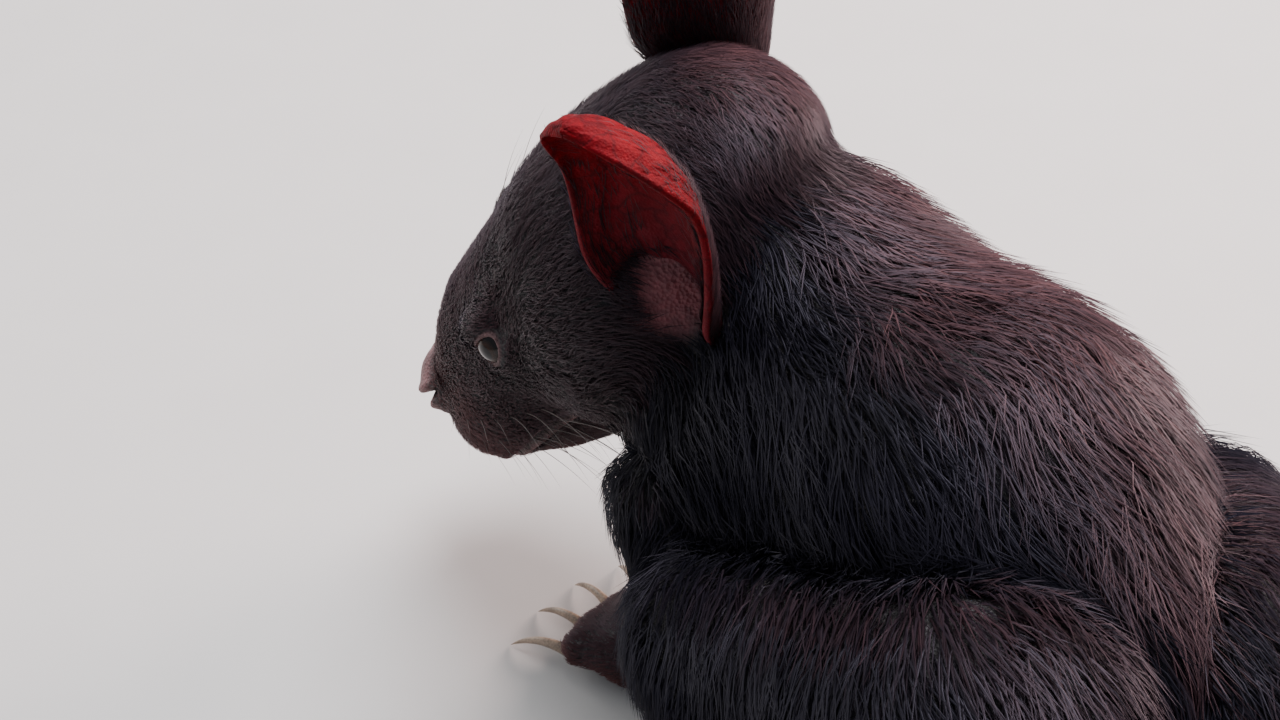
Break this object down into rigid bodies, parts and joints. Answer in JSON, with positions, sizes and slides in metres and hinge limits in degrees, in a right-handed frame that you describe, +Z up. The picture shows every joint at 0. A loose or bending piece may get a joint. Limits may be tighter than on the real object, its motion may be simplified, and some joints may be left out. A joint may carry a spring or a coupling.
{
  "type": "tasmanian devil",
  "caption": "Life-size still model of a sitting Tasmanian devil, hunched over its haunches with the head turned back to its left and bent down, tail laid on the floor.",
  "frame": {"origin": "on the floor under the middle of the whole animal, tail included", "axes": "+Z up, -Y the way the body faces, +X the animal's left side"},
  "size_m": [0.2108, 0.5112, 0.2346],
  "materials": {
    "coat": "short dense black fur with a blue and brown sheen",
    "face": "very short dark brown fur",
    "ear": "thin almost bare skin, dark red",
    "nose": "bare moist skin, pinkish brown",
    "eye": "wet and glossy, dark brown",
    "paw": "short dark hair over reddish brown skin, with pale claws"
  },
  "bodies": {
    "root": {"head": "face", "nose": "nose", "ear_left": "ear", "ear_right": "ear", "eye_left": "eye", "eye_right": "eye", "neck": "coat", "torso_front": "coat", "torso_rear": "coat", "tail": "coat", "thigh_left": "coat", "thigh_right": "coat", "shank_left": "coat", "shank_right": "coat", "hind_foot_left": "paw", "hind_foot_right": "paw", "upper_arm_left": "coat", "upper_arm_right": "coat", "forearm_left": "paw", "forearm_right": "paw", "forepaw_left": "paw", "forepaw_right": "paw"}
  },
  "joints": []
}
